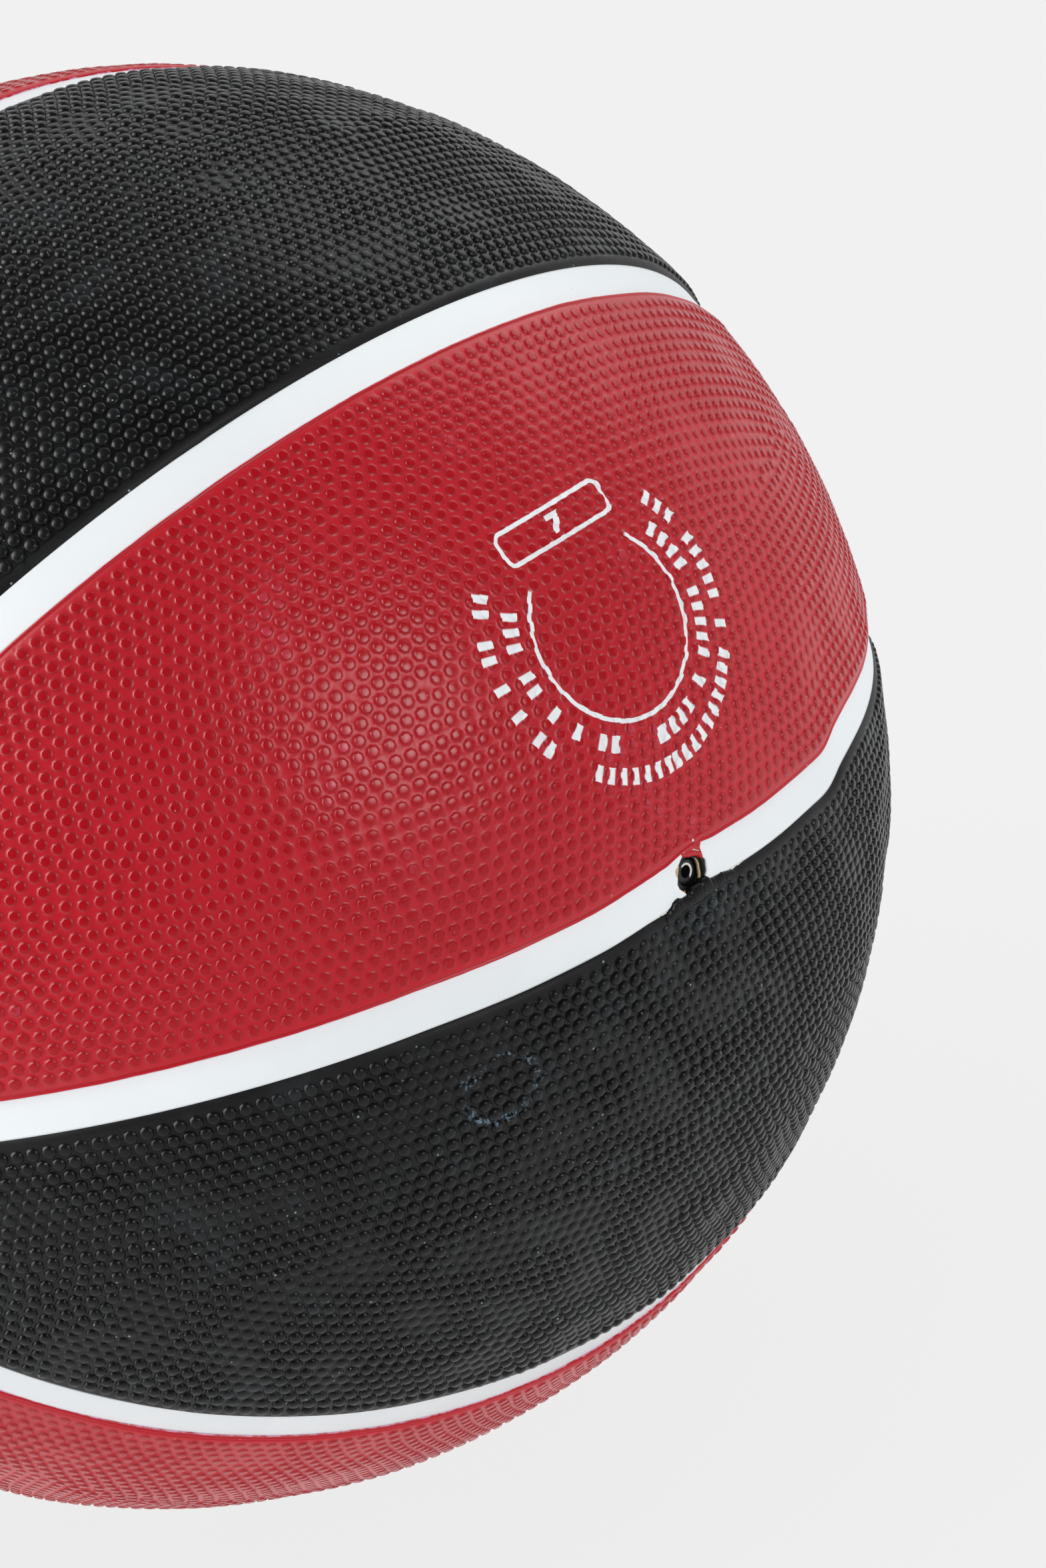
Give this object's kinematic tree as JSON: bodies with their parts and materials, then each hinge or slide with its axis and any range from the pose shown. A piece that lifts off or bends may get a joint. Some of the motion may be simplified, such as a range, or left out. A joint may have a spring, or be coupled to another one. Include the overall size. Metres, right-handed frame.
{
  "type": "basketball",
  "caption": "Size 7 rubber basketball with red and black pebbled cover panels, white seam strips, a wound carcass, an air bladder and a needle valve.",
  "frame": {"origin": "the ball's centre, which is also the centre of its bounding box", "axes": "+X leaves the ball through the valve; +Z is square to the seam that carries the valve, up as in the picture; +Y completes the frame"},
  "size_m": [0.2386, 0.2388, 0.2388],
  "materials": {
    "red_cover": "satin",
    "black_cover": "satin",
    "white_strip": "satin",
    "carcass_rubber": "matte",
    "nylon_thread": "satin",
    "butyl": "satin",
    "valve_rubber": "satin"
  },
  "bodies": {
    "ball": {"valve_panel_upper": "red_cover", "valve_panel_lower": "black_cover", "rear_panel_upper": "black_cover", "rear_panel_lower": "red_cover", "top_panel_front": "black_cover", "top_panel_rear": "red_cover", "bottom_panel_front": "red_cover", "bottom_panel_rear": "black_cover", "equator_strip": "white_strip", "crown_strip": "white_strip", "base_strip": "white_strip", "valve_side_strip_upper": "white_strip", "valve_side_strip_lower": "white_strip", "rear_side_strip_upper": "white_strip", "rear_side_strip_lower": "white_strip", "carcass_upper": "carcass_rubber", "carcass_lower": "carcass_rubber", "thread_winding": "nylon_thread", "bladder": "butyl", "valve_body": "valve_rubber"},
    "plug": {"valve_core": "valve_rubber"}
  },
  "joints": [
    {"name": "plug_pull", "type": "slide", "parent": "ball", "child": "plug", "axis": [1, 0, 0], "range_m": [0, 0.022]}
  ]
}
